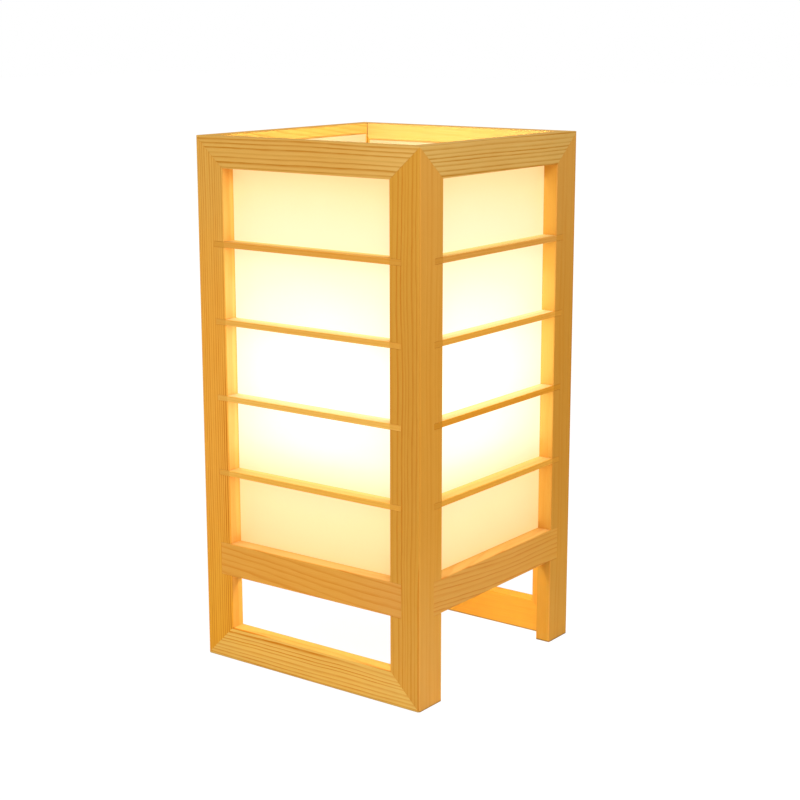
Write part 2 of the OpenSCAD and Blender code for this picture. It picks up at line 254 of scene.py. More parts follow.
def addStudio():
    scene = bpy.context.scene
    scene.view_settings.view_transform = "Standard"
    world = bpy.data.worlds.new("studio")
    scene.world = world
    world.use_nodes = True
    back = world.node_tree.nodes["Background"]
    back.inputs["Color"].default_value = (1, 1, 1, 1)
    white = seenRays(world.node_tree) * (1 - studio["ambient"]) + studio["ambient"]
    world.node_tree.links.new(white.socket, back.inputs["Strength"])
    for name, (place, size, power) in studio["lamps"].items():
        areaLamp(name, place, studio["aim"], size, power)

    bm = bmesh.new()
    bmesh.ops.create_grid(bm, x_segments=1, y_segments=1, size=studio["floorSize"] / 2)
    data = bpy.data.meshes.new("floor")
    bm.to_mesh(data)
    bm.free()
    floor = bpy.data.objects.new("floor", data)
    scene.collection.objects.link(floor)
    paint = Finish("floor paint", Base_Color=[studio["floorWhite"]] * 3 + [1],
                   Roughness=studio["floorRoughness"], Specular_IOR_Level=0.0)
    plain = paint.node("Emission", {}, {
        "Color": (1, 1, 1, 1), "Strength": studio["floorStrength"]})
    upper = paint.node("MixShader", {}, {
        0: seenRays(paint.tree) * studio["floorClear"],
        1: Sock(paint.tree, paint.shader.outputs[0]), 2: plain})
    reach = paint.node("LightPath", {}, {}, "Ray Length")
    near = reach.math("LESS_THAN", reach, studio["contact"])
    clear = paint.node("NewGeometry", {}, {}, "Backfacing").larger(near)
    whole = paint.node("MixShader", {}, {
        0: clear, 1: upper, 2: paint.node("BsdfTransparent", {}, {})})
    paint.tree.links.new(whole.socket, paint.tree.nodes["Material Output"].inputs["Surface"])
    floor.data.materials.append(paint.material)


addCamera()
addStudio()
print("camera and studio made")

# softwood: rings round a pith beside each board, with fine fibres along it
timber = {
    "light": "#e3a446",
    "dark": "#b97420",
    "pitch": 2.6,           # mm from ring to ring
    "contrast": 0.55,
    "deepContrast": 0.4,    # how much of it is left off the wall's own face
    "sharpness": 1.7,       # higher makes the dark lines thinner
    "waviness": 3.0,        # mm that the rings wander
    "unrest": 1.6,          # how unevenly the rings follow each other
    "slant": 0.0,           # mm across for each mm along
    "sag": 0.0,             # mm that a rail's rings hang lower in its middle
    "edgeRings": 0.0,       # contrast added along the upper or right edge, in the low or left half
    "fibre": 0.18,          # how far the fibres stand out
    "grainHue": (0.3, 1.0, 2.4),  # how strongly a darker fibre takes from red, green and blue
    "warmth": 0.3,          # how far the broad patches turn towards orange
    "arrisLight": 0.04,          # painted highlight: how much lighter the outer edge of a stile is, as if its eased arris caught the light
    "foot": (1.0, 1.0, 1.0),  # tint towards the low or left end: the board's own drift in colour, and at the stiles' feet partly painted light from the white floor
    "head": (1.0, 1.0, 1.0),  # tint towards the high or right end
    "side": (1.0, 1.05, 1.25),  # painted light: tint of the faces that don't lie in the wall's own face, for the paper's glow on them
    "dusk": 0.0,            # how much of the paper's light those lose towards the outer face
    "sideGlow": 0.0,        # how much more they get by the brightest paper, and less far from it
    "floorShade": 0.5,      # how much light is left where the wood stands on the floor
    "seamShade": 0.55,      # and in the line along the inner corners
    "lapBlend": 0.0,        # how far the ends let into the stiles take on their colour
    "lapColour": "#df9c3c",
    "through": 0.0,         # light that shows through a thin bar beside the paper
    "throughColour": (1.0, 0.72, 0.30),
    "roughness": 0.58,
    "lateSmooth": 0.08,     # how much smoother the dark lines are, and how far the fibres change it
    "fibreRough": 0.12,
    "relief": 0.06,         # mm, shared out between the fibres and the dark lines
    "fibreRelief": 0.6,
    "lateRelief": 0.25,
}

# what all boards share
rings = {
    "pithAcross": (55, 90), # mm from the board's middle to the pith, across and deep
    "pithDeep": (12, 40),
    "ripple": 0.35,         # how much of the waviness the short waves have
    "growth": 0.16,         # changes of pitch for each mm
    "strength": 0.55,       # changes of strength for each ring
    "rise": (0.25, 0.86),   # the part of a ring over which it darkens
    "fall": (0.9, 1.0),     # and over which it turns light again
    "strong": (0.3, 0.62, 0.45, 1.15),  # noise from and to, strength from and to
    "broken": (0.3, 0.65, 0.7, 1.1),
}
grainNoises = {             # for each mm along and across the board; detail and roughness
    "drift": (0.011, 0.05, 1.0, 0.5),
    "ripple": (0.06, 0.25, 2.0, 0.5),
    "broken": (0.07, 0.8, 3.0, 0.6),
    "fibre": (0.04, 2.2, 5.0, 0.66),
    "fleck": (0.3, 6.0, 2.0, 0.5),
    "patch": (0.018, 0.07, 2.0, 0.5),
}
patches = {
    "warm": (0.45, 0.75),   # the part of the noise over which a patch turns orange
    "orange": (1.0, 0.86, 0.55, 1.0),  # what that leaves of the light colour
    "dark": 0.12,           # how far the patches stand out
    "fleck": (0.6, 0.75),   # the part of the noise over which a fleck darkens, and how much
    "fleckDark": 0.07,
}
lapLength = 7.2             # mm of a bar's end that is let into a stile
innerFace = 67.0            # mm from the axis to the walls' inner faces
zones = {                   # mm over which a board's shading changes, from and to
    "skin": (1.2, 0.4),     # below the wall's face, where the look of that face begins
    "seam": (0.6, 0.2),     # from the inner corner, both ways summed
    "seamDeep": (0.1, 0.4), # outwards from the inner face
    "arrisLight": (74.95, 75.25),  # from the axis, where the painted highlight on a stile's arris lies
    "foot": (0.3, 1.1),     # above the floor
    "glow": (10.0, 100.0),  # up and down from the brightest height
    "dusk": (2.0, 0.6),     # outwards from the inner face, to short of the outer face
    "edge": (5.0, 3.0),     # from the edge that has edgeRings
    "edgeRun": (-20.0, 45.0),  # along the board from its middle
    "lap": 0.2,             # each way from the end of a lap
    "through": 6.0,         # outwards from the inner face
}
brightest = 185.0           # mm above the floor, where the paper lights the sides most
plainEnds = 0.2             # the part of the half length that has no tint of foot or head

# where a board differs from timber, by the start of its node's name
boardLooks = {
    "front_top_rail": {
        "light": "#e2ad56", "dark": "#bf7718", "pitch": 2.3, "waviness": 1.0, "contrast": 0.72,
        "slant": -0.004, "warmth": 0.1, "sharpness": 1.8, "unrest": 1.4,
        "foot": (0.98, 0.97, 0.9), "head": (1.04, 1.1, 1.25)},
    "front_left_stile": {
        "light": "#efaa42", "dark": "#cf7010", "pitch": 1.6, "contrast": 0.6, "waviness": 0.6,
        "unrest": 1.0, "arrisLight": -0.2, "foot": (0.96, 0.97, 0.7), "head": (0.88, 1.0, 1.4),
        "side": (1.0, 1.14, 1.68), "deepContrast": 0.7, "edgeRings": 1.8},
    "front_right_stile": {
        "light": "#d7993b", "dark": "#c0660a", "pitch": 2.3, "contrast": 0.5, "waviness": 2.4,
        "arrisLight": 0.06, "sharpness": 2.4, "fibre": 0.14, "floorShade": 0.36,
        "foot": (1.09, 1.16, 1.4), "head": (1.05, 1.08, 1.05)},
    "front_mid_rail": {
        "light": "#e6a446", "dark": "#d37814", "pitch": 3.8, "contrast": 0.45, "waviness": 3.5,
        "slant": 0.06, "sharpness": 2.4, "head": (0.97, 0.98, 1.2), "side": (1.0, 1.31, 2.15)},
    "front_bottom_rail": {
        "light": "#ecbc5c", "dark": "#d47a12", "pitch": 2.2, "contrast": 0.76, "waviness": 1.8,
        "sharpness": 2.0, "head": (1.0, 1.03, 1.15), "side": (1.0, 1.0, 1.08),
        "edgeRings": 1.3, "floorShade": 0.75},
    "right_left_stile": {
        "light": "#e09e3d", "dark": "#d07e20", "pitch": 4.2, "contrast": 0.25, "unrest": 2.2,
        "fibre": 0.1, "arrisLight": 0.048, "foot": (1.11, 1.22, 1.9), "head": (1.03, 1.08, 1.4)},
    "right_right_stile": {
        "light": "#d29338", "dark": "#c57418", "pitch": 4.2, "contrast": 0.26, "unrest": 2.2,
        "fibre": 0.15, "foot": (1.11, 1.2, 1.55), "head": (1.06, 1.14, 1.6),
        "side": (1.06, 1.16, 1.2), "deepContrast": 0.9, "floorShade": 0.36, "sideGlow": 0.07},
    "right_top_rail": {
        "light": "#e1b15e", "dark": "#bf7818", "pitch": 2.0, "contrast": 0.75, "waviness": 0.8,
        "slant": 0.008, "warmth": 0.1, "sharpness": 2.2, "unrest": 1.4,
        "foot": (1.04, 1.06, 1.08), "head": (0.94, 0.94, 0.93)},
    "right_mid_rail": {
        "light": "#e5a850", "dark": "#d06c14", "pitch": 2.7, "contrast": 0.55, "waviness": 3.0,
        "slant": 0.06, "sag": 2.0, "sharpness": 3.0, "head": (0.95, 0.94, 0.82),
        "side": (1.0, 1.17, 1.35)},
    "back_top_rail": {
        "light": "#edb760", "dark": "#dba44c", "pitch": 3.4, "contrast": 0.3, "slant": 0.05,
        "deepContrast": 1.0},
    "left_top_rail": {
        "light": "#edb356", "dark": "#cf8f34", "pitch": 3.0, "contrast": 0.5, "slant": 0.16,
        "side": (1.0, 1.05, 1.17), "deepContrast": 1.0},
    "back_bottom_rail": {
        "light": "#efab3c", "dark": "#d98e34", "pitch": 4.2, "contrast": 0.3, "sharpness": 1.2},
    "back_right_stile": {"light": "#e9a742", "dark": "#cf842c", "pitch": 2.8, "contrast": 0.4},
    "back_left_stile": {
        "light": "#e9a742", "dark": "#cf842c", "pitch": 2.8, "contrast": 0.4,
        "side": (1.08, 1.03, 1.08), "floorShade": 0.25},
    "front_kumiko_1": {
        "light": "#e6a446", "dark": "#d57c18", "side": (1.0, 1.26, 1.95), "dusk": 0.32,
        "lapColour": "#d69638"},
    "front_kumiko_2": {"light": "#efb353", "side": (1.0, 1.1, 1.65)},
    "front_kumiko_3": {
        "light": "#f6bd5b", "dark": "#e69a2e", "lapBlend": 0.5, "side": (1.0, 1.02, 1.6)},
    "front_kumiko_4": {"light": "#f3b650", "side": (1.0, 1.02, 1.42)},
    "right_kumiko_1": {
        "light": "#e4a34a", "dark": "#d37c24", "side": (0.98, 1.42, 2.2), "dusk": 0.1,
        "lapColour": "#d28f32"},
    "right_kumiko_2": {"light": "#efab45", "side": (1.0, 1.33, 2.7), "lapColour": "#d28f32"},
    "right_kumiko_3": {
        "light": "#e99e33", "dark": "#d97c12", "side": (1.0, 1.5, 4.3), "lapColour": "#cf8a2a"},
    "right_kumiko_4": {"light": "#efab43", "side": (1.0, 1.15, 1.88), "lapColour": "#d28f32"},
    "batten": {"light": "#e2b067", "dark": "#c48a3c", "pitch": 3.2},
}
kumikoLook = {              # what the thin bars share
    "light": "#f3b54a", "dark": "#de8a20", "pitch": 1.5, "contrast": 0.35, "waviness": 1.0,
    "side": (1.0, 1.12, 2.2), "lapBlend": 0.75, "through": 0.15}


def boardLook(name):
    look = {**timber, **(kumikoLook if "kumiko" in name else {})}
    own = next((boardLooks[start] for start in boardLooks if name.startswith(start)), {})
    return {**look, **own}


def woodFinish(name, along, across, deep, low, high):
    # along, across and deep are the axes of the board's length, width and thickness
    rng = random.Random(name)
    look = boardLook(name)
    finish = Finish("pine " + name, Specular_IOR_Level=0.0)
    place = finish.axes(finish.position())
    centre = [(a + b) / 2 / mm for a, b in zip(low, high)]
    half = [(b - a) / 2 / mm for a, b in zip(low, high)]
    length, width, depth = (place[axis] - centre[axis] for axis in (along, across, deep))
    seed = rng.uniform(0, 500)
    pithAcross = rng.choice((-1, 1)) * rng.uniform(*rings["pithAcross"])
    pithDeep = rng.uniform(*rings["pithDeep"])

    def grain(kind):
        perLength, perWidth, detail, roughness = grainNoises[kind]
        spot = finish.vector(length * perLength + seed, width * perWidth, depth * perWidth)
        return finish.noise(spot, detail=detail, roughness=roughness)

    # rings: each dark line is soft towards the pith side and sharp on the other
    shift = (grain("drift") - 0.5) * look["waviness"] * 2
    shift = shift + (grain("ripple") - 0.5) * look["waviness"] * rings["ripple"]
    shift = shift + length * look["slant"]
    if look["sag"]:
        shift = shift + (1 - (length / half[along]) ** 2) * look["sag"]
    radius = ((width - pithAcross + shift) ** 2 + (depth + pithDeep) ** 2) ** 0.5

    def byRadius(perMm):
        return finish.noise(finish.vector(radius * perMm + seed, 0.0, 0.0), detail=1.0)

    growth = byRadius(rings["growth"])
    ring = (radius / look["pitch"] + (growth - 0.5) * look["unrest"]).fraction()
    late = finish.ease(ring, *rings["rise"]) ** look["sharpness"]
    late = late * finish.ease(ring, *rings["fall"], 1.0, 0.0)
    strength = byRadius(rings["strength"] / look["pitch"])
    late = late * finish.ease(strength, *rings["strong"])
    late = late * finish.ease(grain("broken"), *rings["broken"])
    fibre, fleck, patch = (grain(kind) for kind in ("fibre", "fleck", "patch"))

    light, dark = linear(look["light"]), linear(look["dark"])
    outer = max(abs(low[deep]), abs(high[deep])) / mm
    out = place[deep].size()
    skin = [outer - below for below in zones["skin"]]
    own = finish.ease(out, *skin)       # 1 on the wall's own face
    shown = finish.ease(out, *skin, look["deepContrast"], 1.0)
    if look["edgeRings"]:
        near = finish.ease(width, *(half[across] - short for short in zones["edge"]))
        near = near * finish.ease(length, *zones["edgeRun"], 1.0, 0.0)
        shown = shown + near * own * look["edgeRings"]
    colour = finish.mix(late * shown * look["contrast"], light, dark)
    orange = [value * left for value, left in zip(light, patches["orange"])]
    colour = finish.mix(finish.ease(patch, *patches["warm"]) * look["warmth"], colour, orange)
    streak = (fibre - 0.5) * look["fibre"] * 2
    streak = streak - finish.ease(fleck, *patches["fleck"]) * patches["fleckDark"]
    streak = streak + (patch - 0.5) * patches["dark"] + 1.0

    # painted shade and light: the seams in the inner corners, the highlight on the arrises, and
    # what the paper and the floor do
    corner = finish.ease(place[0].size() + place[1].size(),
                         *(2 * innerFace - short for short in zones["seam"]))
    inner = finish.ease(out, *(innerFace + part for part in zones["seamDeep"]), 1.0, 0.0)
    shade = 1 - corner * inner * (1 - look["seamShade"])
    # painted highlight along a stile's outer edge; a negative strength paints shade there instead
    if name.endswith("stile"):
        lit = finish.ease(place[across].size(), *zones["arrisLight"])
        shade = shade * (lit * look["arrisLight"] + 1)
    if look["dusk"]:
        begin, short = zones["dusk"]
        lost = finish.ease(out, innerFace + begin, outer - short, 0.0, look["dusk"])
        shade = shade * (1 - lost * (1 - own))
    if low[2] < mm:
        shade = shade * finish.ease(place[2], *zones["foot"], look["floorShade"], 1.0)
    if look["sideGlow"]:
        away = (place[2] - brightest).size()
        extra = finish.ease(away, *zones["glow"], look["sideGlow"], -look["sideGlow"])
        shade = shade * (extra * (1 - own) + 1)
    if look["lapBlend"]:
        clear = half[along] - lapLength
        let = finish.ease(length.size(), clear - zones["lap"], clear + zones["lap"])
        colour = finish.mix(let * look["lapBlend"], colour, linear(look["lapColour"]))
    darker = finish.vector(*(streak ** power * shade for power in look["grainHue"]))
    colour = finish.mix(1.0, colour, darker, "MULTIPLY")

    reach = half[along]
    # painted light: the side tint stands for the paper's glow on the reveals and the bars' tops
    tints = {
        "foot": finish.ease(length, -reach, -reach * plainEnds, 1.0, 0.0) * own,
        "head": finish.ease(length, reach * plainEnds, reach) * own,
        "side": 1 - own,
    }
    for kind, share in tints.items():
        if look[kind] != (1.0, 1.0, 1.0):
            colour = finish.mix(share, colour, (*look[kind], 1.0), "MULTIPLY")
    finish.feed("Base Color", colour)
    smooth = look["roughness"] - late * look["lateSmooth"]
    finish.feed("Roughness", smooth + (fibre - 0.5) * look["fibreRough"])
    if look["through"]:
        near = finish.ease(out, innerFace, innerFace + zones["through"], look["through"], 0.0)
        shine = finish.mix(near, (0.0, 0.0, 0.0, 1.0), (*look["throughColour"], 1.0))
        finish.feed("Emission Color", shine)
        finish.shader.inputs["Emission Strength"].default_value = 1.0
    finish.bump(fibre * look["fibreRelief"] + late * look["lateRelief"], look["relief"], 0.6)
    return finish.material


def boardAxes(name):
    wallAxis = 0 if name.startswith(("front", "back", "batten")) else 1
    if name == "batten":
        return 0, 1, 2
    if name.endswith("stile"):
        return 2, wallAxis, 1 - wallAxis
    return wallAxis, 2, 1 - wallAxis


boards = [name for name in nodes if slotOf[name].startswith("pine")]


def mergedCopy(name):
    # a node's loose triangles joined into its real faces
    bm = bmesh.new()
    bm.from_mesh(nodes[name].data)
    bmesh.ops.remove_doubles(bm, verts=bm.verts, dist=0.001 * mm)
    bmesh.ops.dissolve_limit(bm, angle_limit=math.radians(1), verts=bm.verts, edges=bm.edges)
    return bm


sheets = [wall + "_paper" for wall in wallNames]
contactTrees = {name: BVHTree.FromBMesh(mergedCopy(name)) for name in boards + sheets}

# how far the boards' arrises are eased, in mm
arrises = {
    "free": 0.3,
    "mitre": 0.15,          # where boards meet in a mitre
    "lap": 0.08,            # where a lapped bar or rail meets its neighbours
    "steps": 2,
    "touch": 0.06,          # a neighbour within this meets the edge
    "bend": 20,             # degrees: flatter edges and inside corners stay as they are
}


def easeBoard(name):
    bm = mergedCopy(name)
    weight = bm.edges.layers.float.new("bevel_weight_edge")
    others = [tree for other, tree in contactTrees.items() if other != name]
    mitred = name.endswith(("stile", "top_rail", "bottom_rail"))
    meeting = arrises["mitre"] if mitred else arrises["lap"]
    bend = math.radians(arrises["bend"])
    for edge in bm.edges:
        if len(edge.link_faces) != 2 or edge.calc_face_angle_signed() < bend:
            continue
        middle = (edge.verts[0].co + edge.verts[1].co) / 2
        touching = any(tree.find_nearest(middle, arrises["touch"] * mm)[0] for tree in others)
        edge[weight] = meeting / arrises["free"] if touching else 1.0
    data = bpy.data.meshes.new(name + "_board")
    bm.to_mesh(data)
    bm.free()
    board = bpy.data.objects.new(name + "_board", data)
    bpy.context.scene.collection.objects.link(board)
    bevel = board.modifiers.new("eased arrises", "BEVEL")
    bevel.limit_method = "WEIGHT"
    bevel.width = arrises["free"] * mm
    bevel.segments = arrises["steps"]
    low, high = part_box(name)
    data.materials.append(woodFinish(name, *boardAxes(name), low, high))
    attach(board, "frame")
    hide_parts(name)


for name in boards:
    easeBoard(name)
print("boards made:", len(boards))

# laminated paper: cream, glowing round the height of the bulb
paper = {
    "base": "#b9ab85",
    "glow": [               # mm from the middle of the glow, and the light given off there
        (0, (0.90, 1.00, 1.05)),
        (32, (0.84, 0.86, 0.80)),
        (58, (0.80, 0.74, 0.53)),
        (84, (0.77, 0.60, 0.37)),
        (108, (0.74, 0.50, 0.21)),
        (130, (0.70, 0.36, 0.11)),
    ],
    "inside": 0.35,         # share of it given off towards the inside, which the bulb lights
    "insideDeep": (0.4, 0.1),  # mm inwards from the inner face, from and to where that ends
    "centre": 169.5,        # mm above the floor
    "squeeze": 0.72,        # a mm to the side counts as this many
    "collar": (34.0, 66.0, 0.0, 34.0),  # painted shadow of the bulb's collar: mm below the centre, from and to, and the mm that this adds
    "lower": (62.0, 94.0, 0.0, 8.0),    # painted light further down: the same, taken off again
    "aside": {"front": 5.0, "right": -20.0},  # mm that a sheet's glow stands to the side
    "cloud": (0.03, 6.0),   # for each mm, and mm that it moves the glow
    "fibre": (0.8, 0.8, 0.5),  # for each mm each way
    "fibreShift": 5.0,
    "tone": 0.16,           # how far the fibres stand out in the colour
    "rim": (0.0, 0.055, 0.045),  # painted light: more given off beside the frame, to lift the shade that the frame casts there
    "rimWidth": 11.0,       # mm
    "rimSide": 0.6,         # the part of it beside the stiles, and then over the mid rail
    "rimFoot": 0.7,
    "half": 57.0,           # mm from the middle of the opening to its sides
    "low": 69.5,            # mm, the opening's foot and head
    "high": 283.0,
    "relief": 0.04,         # mm
}


def paperFinish(name, wallAxis, shift):
    finish = Finish("paper " + name, Roughness=0.75)
    place = finish.axes(finish.position())
    aside = (place[wallAxis] - shift) * paper["squeeze"]
    rise = place[2] - paper["centre"]
    below = (rise * -1.0).larger(0.0)
    # painted shadow of the bulb's collar on the paper, and painted light again further down
    down = below + finish.ease(below, *paper["collar"]) - finish.ease(below, *paper["lower"])
    away = (aside ** 2 + (rise.larger(0.0) + down) ** 2) ** 0.5
    perMm, cloudShift = paper["cloud"]
    cloud = finish.noise(finish.vector(*(way * perMm for way in place)), detail=3.0)
    threads = finish.vector(*(way * fine for way, fine in zip(place, paper["fibre"])))
    fibre = finish.noise(threads, detail=5.0, roughness=0.7)
    reach = paper["glow"][-1][0]
    fade = (away + (cloud - 0.5) * cloudShift + (fibre - 0.5) * paper["fibreShift"]) / reach
    stops = [(mmAway / reach, (*colour, 1.0)) for mmAway, colour in paper["glow"]]
    given = finish.node("ValToRGB", {"stops": stops}, {"Fac": fade})
    wide = paper["rimWidth"]
    low, high, half = paper["low"], paper["high"], paper["half"]
    # painted light beside the frame, against the frame's shade on the paper
    rim = finish.ease(place[wallAxis].size(), half - wide, half) * paper["rimSide"]
    rim = rim.larger(finish.ease(place[2], high - wide, high))
    rim = rim.larger(finish.ease(place[2], low, low + wide, paper["rimFoot"], 0.0))
    given = finish.mix(rim, given, (*paper["rim"], 1.0), "ADD")
    deep = (innerFace - inwards for inwards in paper["insideDeep"])
    share = finish.ease(place[1 - wallAxis].size(), *deep, paper["inside"], 1.0)
    finish.feed("Emission Color", finish.dim(given, share))
    finish.shader.inputs["Emission Strength"].default_value = 1.0
    tone = (fibre - 0.5) * paper["tone"] + 1.0
    finish.feed("Base Color", finish.dim(linear(paper["base"]), tone))
    finish.bump(fibre, paper["relief"], 0.4)
    return finish.material


for number, wall in enumerate(wallNames):
    sheet = nodes[wall + "_paper"]
    material = paperFinish(wall, number % 2, paper["aside"].get(wall, 0.0))
    for slot in sheet.material_slots:
        slot.material = material
print("paper made")

# the light that the paper passes on to the wood round it, and the bulb's own light
glow = {
    "width": 111.0,         # mm
    "fields": {             # mm from the axis, mm from and to in height, radiance, colour
        "whole": (67.06, 73.5, 275.0, 0.65, (1.05, 1.25, 2.0)),
        "middle": (67.25, 124.0, 222.0, 0.39, (0.5, 1.4, 4.0)),
    },
    "bulbPlace": 169.5,     # mm above the floor
    "bulbRadius": 26.0,
    "bulbPower": 1.33,
    "bulbColour": (1.0, 0.93, 0.80),
}


def addGlow():
    for number, wall in enumerate(wallNames):
        turn = Matrix.Rotation(math.radians(90 * number), 3, "Z")
        for field, (inFront, low, high, radiance, colour) in glow["fields"].items():
            middle = (low + high) / 2 * mm
            place = turn @ Vector((0, -inFront * mm, middle))
            aim = turn @ Vector((0, -1, middle))
            wide, tall = glow["width"] * mm, (high - low) * mm
            power = 4 * wide * tall * radiance      # an area lamp's radiance is power / 4 / area
            areaLamp("%s %s" % (wall, field), place, aim, wide, power, colour, sizeUp=tall)
    data = bpy.data.lights.new("bulb light", "POINT")
    data.energy = glow["bulbPower"]
    data.color = glow["bulbColour"]
    data.shadow_soft_size = glow["bulbRadius"] * mm
    lamp = bpy.data.objects.new("bulb light", data)
    bpy.context.scene.collection.objects.link(lamp)
    lamp.location = (0, 0, glow["bulbPlace"] * mm)
    lamp.visible_camera = False
    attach(lamp, "bulb")


addGlow()
print("glow made")

# the fittings: the threaded ones are made anew, and the plain ones are merged copies of the
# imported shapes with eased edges
bendAngle = 32              # degrees: sharper edges are eased, and stay sharp in the shading


def finishedPiece(name, label, bm, material, body):
    data = bpy.data.meshes.new(label)
    bm.to_mesh(data)
    bm.free()
    piece = bpy.data.objects.new(label, data)
    bpy.context.scene.collection.objects.link(piece)
    data.materials.append(material)
    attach(piece, body)
    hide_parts(name)
    return piece


def shadeSmooth(bm, angle=bendAngle):
    for face in bm.faces:
        face.smooth = True
    for edge in bm.edges:
        if len(edge.link_faces) == 2:
            edge.smooth = edge.calc_face_angle() < math.radians(angle)


def easedPiece(name, ease, material, body):
    # ease in mm; 0 leaves the edges as they are
    bm = mergedCopy(name)
    if ease:
        bend = math.radians(bendAngle)
        sharp = [e for e in bm.edges
                 if len(e.link_faces) == 2 and e.calc_face_angle_signed() > bend]
        bmesh.ops.bevel(bm, geom=sharp, offset=ease * mm, offset_type="OFFSET", affect="EDGES",
                        segments=2, profile=0.5, material=-1, clamp_overlap=True)
    shadeSmooth(bm)
    return finishedPiece(name, name + "_form", bm, material, body)


# drawn or turned metal: fine lines round the axis, and soft patches where it has dulled
metal = {
    "lines": 9.0,           # for each mm, as the next two
    "patch": 0.16,
    "speck": 2.6,
    "speckShare": 0.35,     # what the specks add to the patches
    "worn": (0.46, 0.72),   # the part of both over which the metal dulls
    "tarnish": 0.35,        # how far its colour turns there, and how much rougher it is
    "wornRoughness": 0.14,
    "relief": 0.02,         # mm
}


def metalFinish(name, colour, dull, roughness, grain=0.25):
    # grain is how far the lines change the roughness
    finish = Finish(name, Metallic=1.0)
    place = finish.position()
    x, y, z = finish.axes(place)
    radius = (x ** 2 + y ** 2) ** 0.5
    turned = finish.vector(radius * metal["lines"], z * metal["lines"], 0.0)
    lines = finish.noise(turned, detail=3.0, roughness=0.7)
    patch = finish.noise(place, scale=metal["patch"], detail=4.0)
    speck = finish.noise(place, scale=metal["speck"], detail=3.0, roughness=0.65)
    worn = finish.ease(patch + (speck - 0.5) * metal["speckShare"], *metal["worn"])
    finish.feed("Base Color", finish.mix(worn * metal["tarnish"], linear(colour), linear(dull)))
    finish.feed("Roughness", (lines - 0.5) * grain + worn * metal["wornRoughness"] + roughness)
    finish.bump(lines + speck * 0.4, metal["relief"], 0.5)
    return finish.material


# moulded plastic with a little dust and a few scuffs
plastic = {
    "mould": 1.7,           # for each mm, as the next two
    "dust": 0.35,
    "scuff": 5.0,
    "dusty": (0.5, 0.8),    # the part of the noise over which each shows
    "scuffed": (0.62, 0.75),
    "dustShare": 0.30,      # how far each turns the colour towards the paler one
    "scuffShare": 0.15,
    "paler": 2.2,
    "relief": 0.03,         # mm
}


def plasticFinish(name, colour, roughness, relief=plastic["relief"], **fixed):
    finish = Finish(name, **fixed)
    place = finish.position()
    mould = finish.noise(place, scale=plastic["mould"], detail=4.0, roughness=0.6)
    dust = finish.noise(place, scale=plastic["dust"], detail=5.0, roughness=0.7)
    dust = finish.ease(dust, *plastic["dusty"])
    scuff = finish.noise(place, scale=plastic["scuff"], detail=2.0)
    scuff = finish.ease(scuff, *plastic["scuffed"])
    paler = [min(1.0, v * plastic["paler"] + 0.01) for v in linear(colour)[:3]] + [1.0]
    shown = dust * plastic["dustShare"] + scuff * plastic["scuffShare"]
    finish.feed("Base Color", finish.mix(shown, linear(colour), paler))
    finish.feed("Roughness", (mould - 0.5) * 0.16 + dust * 0.12 + roughness)
    finish.bump(mould, relief, 0.6)
    return finish.material


zinc = metalFinish("zinc steel", "#b7b6ae", "#8d8a80", 0.34)
brass = metalFinish("brass", "#cfa95a", "#8f6b2e", 0.26)
nickel = metalFinish("nickel cap", "#cbc8c0", "#9c978c", 0.22, grain=0.18)
solder = metalFinish("solder", "#a3a6a8", "#7c7f82", 0.38)
blackPlastic = plasticFinish("black plastic", "#1c1b1d", 0.34)
gripPlastic = plasticFinish("grip plastic", "#222124", 0.46, 0.05)
insulatorGlass = plasticFinish("black glass", "#121116", 0.12, 0.01, Coat_Weight=0.5)


def glazeFinish():
    # glazed ceramic, cloudy, with a few pits
    finish = Finish("white ceramic", Coat_Weight=0.5, Coat_Roughness=0.08)
    place = finish.position()
    cloud = finish.noise(place, scale=0.12, detail=3.0)
    pit = finish.ease(finish.noise(place, scale=2.2, detail=2.0), 0.68, 0.76)
    stain = cloud * 0.5 + pit * 0.4
    finish.feed("Base Color", finish.mix(stain, linear("#ece8de"), linear("#d3ccbc")))
    finish.feed("Roughness", cloud * 0.15 + 0.2)
    finish.bump(cloud - pit * 0.3, 0.05, 0.5)
    return finish.material


# the lit bulb: frosted glass, brightest round the filaments
bulb = {
    "stops": [              # the light given off from the filaments down to the neck
        (0.0, (0.80, 0.68, 0.48, 1.0)),
        (0.4, (0.74, 0.61, 0.40, 1.0)),
        (1.0, (0.40, 0.27, 0.12, 1.0)),
    ],
    "reach": 52.0,          # mm from the first to the last
    "frost": 4.0,           # mm that the frost moves them
    "base": (0.52, 0.49, 0.44, 1.0),
    "hot": 3.0,             # strength of the filaments' light
    "coil": 1.4,            # turns for each mm
}


def litGlassFinish():
    finish = Finish("frosted glass", Roughness=0.38, Emission_Strength=1.0)
    place = finish.position()
    below = glow["bulbPlace"] - finish.axes(place)[2]
    frost = finish.noise(place, scale=1.4, detail=4.0, roughness=0.65)
    fade = (below + (frost - 0.5) * bulb["frost"]) / bulb["reach"]
    finish.feed("Emission Color", finish.node("ValToRGB", {"stops": bulb["stops"]}, {"Fac": fade}))
    finish.feed("Base Color", finish.dim(bulb["base"], (frost - 0.5) * 0.1 + 1.0))
    finish.bump(frost, 0.03, 0.5)
    return finish.material


def clearGlassFinish():
    finish = Finish("clear glass", Transmission_Weight=1.0, IOR=1.5)
    seed = finish.noise(finish.position(), scale=0.5, detail=2.0)
    finish.feed("Base Color", finish.mix(seed, (0.94, 0.97, 0.96, 1.0), (0.99, 0.99, 0.98, 1.0)))
    finish.feed("Roughness", seed * 0.06 + 0.01)
    finish.bump(seed, 0.04, 0.4)
    return finish.material


def filamentFinish():
    finish = Finish("filament", Roughness=0.5, Emission_Strength=bulb["hot"])
    coil = (finish.axes(finish.position())[2] * bulb["coil"]).fraction()
    finish.feed("Base Color", finish.mix(coil, (0.75, 0.55, 0.18, 1.0), (0.9, 0.72, 0.3, 1.0)))
    finish.feed("Emission Color", finish.mix(coil, (1.0, 0.62, 0.22, 1.0), (1.0, 0.74, 0.34, 1.0)))
    return finish.material


